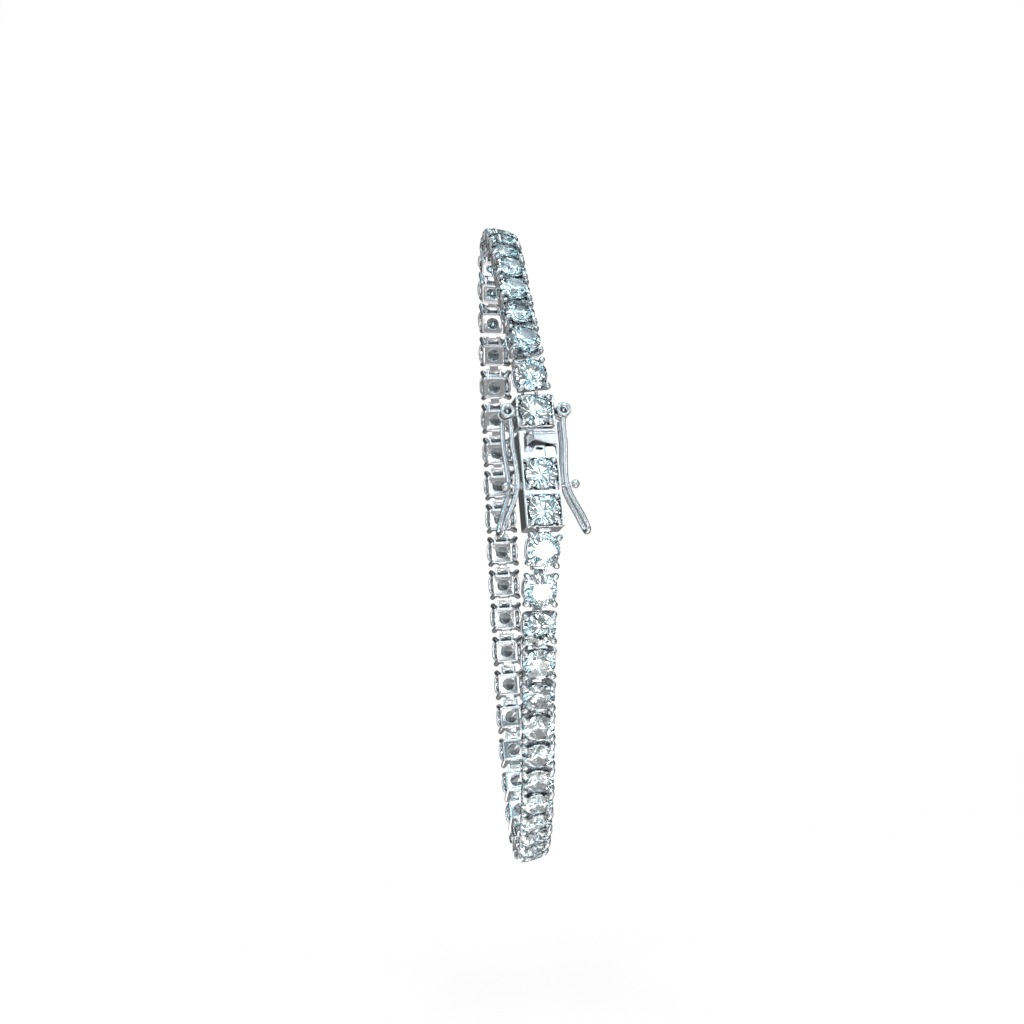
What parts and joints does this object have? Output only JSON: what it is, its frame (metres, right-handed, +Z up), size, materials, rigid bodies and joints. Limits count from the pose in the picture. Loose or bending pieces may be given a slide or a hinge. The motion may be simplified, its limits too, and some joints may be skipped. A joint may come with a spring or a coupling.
{
  "type": "tennis bracelet",
  "caption": "Flexible bracelet of four-prong links each set with a round brilliant stone, closed by a box clasp with a thumb press and two side safety levers.",
  "frame": {"origin": "middle of the closed loop, where the centre of the wrist lies", "axes": "+X along the wrist, through the loop; -Y the front, where the clasp is; +Z up, from the box end of the clasp towards its tongue end"},
  "size_m": [0.01, 0.0458, 0.0743],
  "materials": {
    "polished_white_metal": "mirror polished, rhodium plated",
    "sprung_white_metal": "polished, lightly rubbed",
    "clear_stone": "faceted and polished"
  },
  "bodies": {
    "bracelet": {"link_01": "polished_white_metal", "link_02": "polished_white_metal", "link_03": "polished_white_metal", "link_04": "polished_white_metal", "link_05": "polished_white_metal", "link_06": "polished_white_metal", "link_07": "polished_white_metal", "link_08": "polished_white_metal", "link_09": "polished_white_metal", "link_10": "polished_white_metal", "link_11": "polished_white_metal", "link_12": "polished_white_metal", "link_13": "polished_white_metal", "link_14": "polished_white_metal", "link_15": "polished_white_metal", "link_16": "polished_white_metal", "link_17": "polished_white_metal", "link_18": "polished_white_metal", "link_19": "polished_white_metal", "link_20": "polished_white_metal", "link_21": "polished_white_metal", "link_22": "polished_white_metal", "link_23": "polished_white_metal", "link_24": "polished_white_metal", "link_25": "polished_white_metal", "link_26": "polished_white_metal", "link_27": "polished_white_metal", "link_28": "polished_white_metal", "link_29": "polished_white_metal", "link_30": "polished_white_metal", "link_31": "polished_white_metal", "link_32": "polished_white_metal", "link_33": "polished_white_metal", "link_34": "polished_white_metal", "link_35": "polished_white_metal", "link_36": "polished_white_metal", "link_37": "polished_white_metal", "link_38": "polished_white_metal", "link_39": "polished_white_metal", "link_40": "polished_white_metal", "link_41": "polished_white_metal", "clasp_tongue_end": "polished_white_metal", "clasp_box": "polished_white_metal", "clasp_stone_tongue": "clear_stone", "clasp_stone_box_upper": "clear_stone", "clasp_stone_box_lower": "clear_stone"},
    "thumb_press": {"thumb_press": "sprung_white_metal"},
    "safety_lever_left": {"safety_lever_left": "sprung_white_metal"},
    "safety_lever_right": {"safety_lever_right": "sprung_white_metal"}
  },
  "joints": [
    {"name": "safety_lever_left_open", "type": "hinge", "parent": "bracelet", "child": "safety_lever_left", "pos_m": [-0.00236, -0.01916, 0.01421], "axis": [-0.1132, 0.9683, -0.2225], "range_deg": [0, 120]},
    {"name": "safety_lever_right_open", "type": "hinge", "parent": "bracelet", "child": "safety_lever_right", "pos_m": [0.00372, -0.01847, 0.0141], "axis": [0.1132, -0.9683, 0.2225], "range_deg": [0, 120]},
    {"name": "thumb_press_push", "type": "hinge", "parent": "bracelet", "child": "thumb_press", "pos_m": [0.00061, -0.01941, 0.00598], "axis": [-0.9935, -0.1123, 0.0167], "range_deg": [0, 2.2], "stiffness_Nm_per_rad": 0.5}
  ]
}
